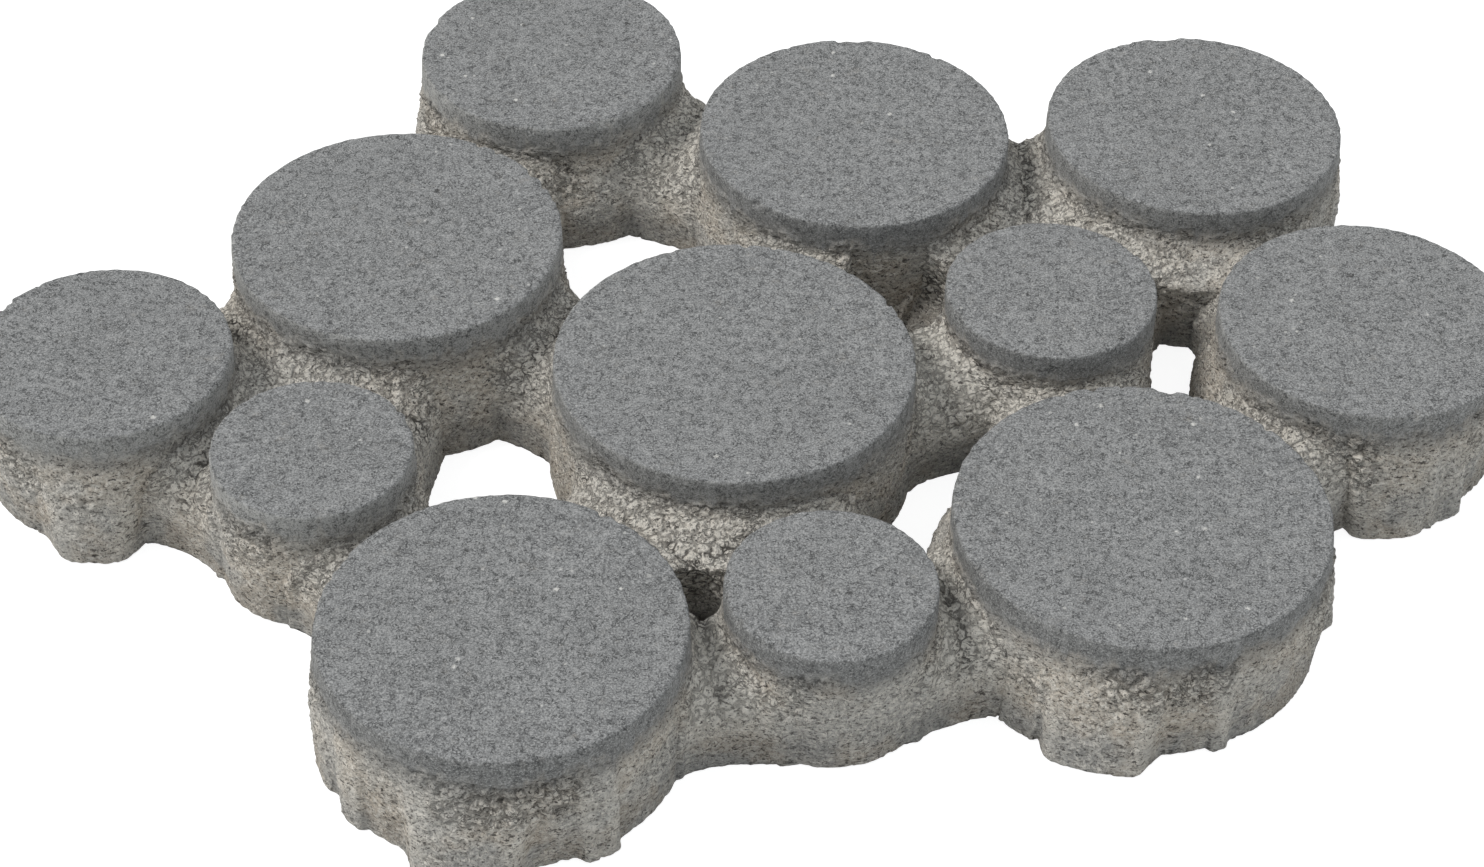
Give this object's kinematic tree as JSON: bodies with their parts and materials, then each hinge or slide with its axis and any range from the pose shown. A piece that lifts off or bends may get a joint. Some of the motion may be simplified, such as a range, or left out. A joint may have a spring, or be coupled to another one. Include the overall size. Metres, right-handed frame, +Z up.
{
  "type": "concrete paving stone",
  "caption": "Open concrete paving stone: round flat-topped columns joined by lower webs, with planting gaps through it that drain rain and hold grass or gravel.",
  "frame": {"origin": "centre of the stone's plan at the level of its bed face", "axes": "+Z up from the bed face to the walking face, +X along the longest extent"},
  "size_m": [0.8644, 0.7009, 0.08],
  "materials": {
    "concrete": "dry-cast concrete, fine and grey on the tops, rough and sandy grey-brown on the sides"
  },
  "bodies": {
    "root": {"paving_stone": "concrete"}
  },
  "joints": []
}
